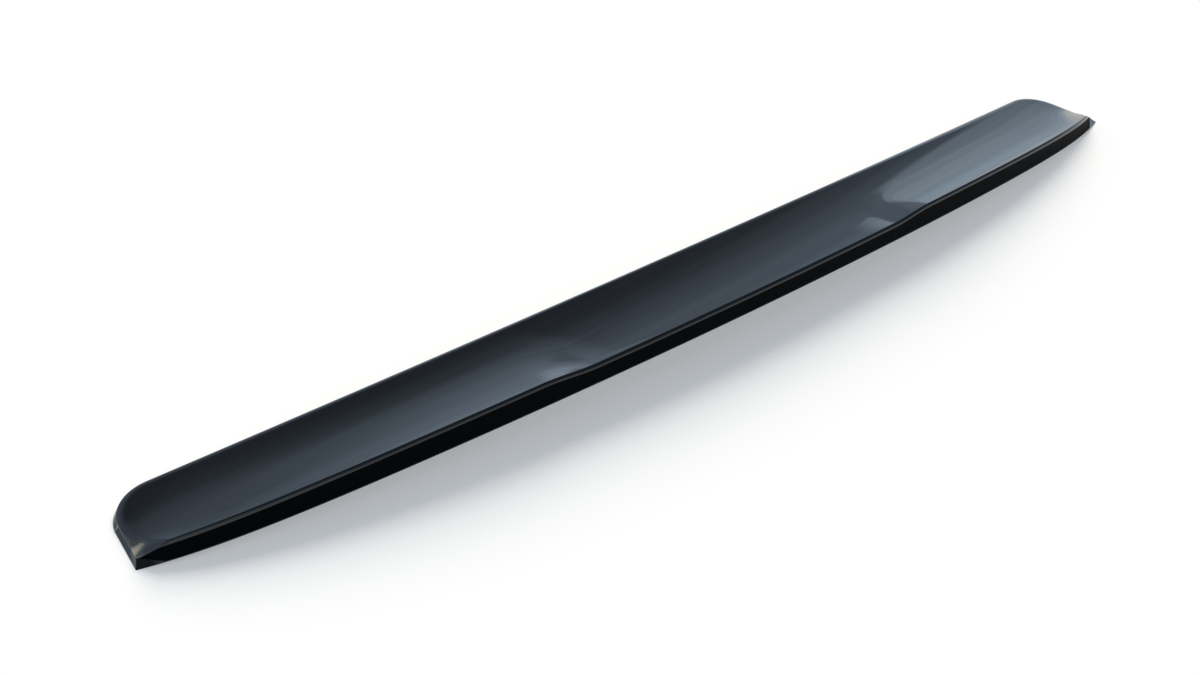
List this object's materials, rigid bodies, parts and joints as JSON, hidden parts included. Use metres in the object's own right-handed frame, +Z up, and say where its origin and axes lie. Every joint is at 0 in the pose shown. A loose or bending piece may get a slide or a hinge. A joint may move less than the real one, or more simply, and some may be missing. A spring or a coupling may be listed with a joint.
{
  "type": "tailgate spoiler",
  "caption": "Long, low lip spoiler for the rear edge of a tailgate, one moulded piece with a concave top that rises to an overhanging rear lip, stepped lower in the middle.",
  "frame": {"origin": "middle of the bounding box in plan, at the height of the lowest points, the two rear corners of the base", "axes": "+X to the right across the car, +Y towards the front of the car, +Z up; the rear lip is on the -Y side"},
  "size_m": [1.1998, 0.1546, 0.0517],
  "materials": {
    "gloss_black": "high gloss black moulded plastic"
  },
  "bodies": {
    "root": {"spoiler": "gloss_black"}
  },
  "joints": []
}
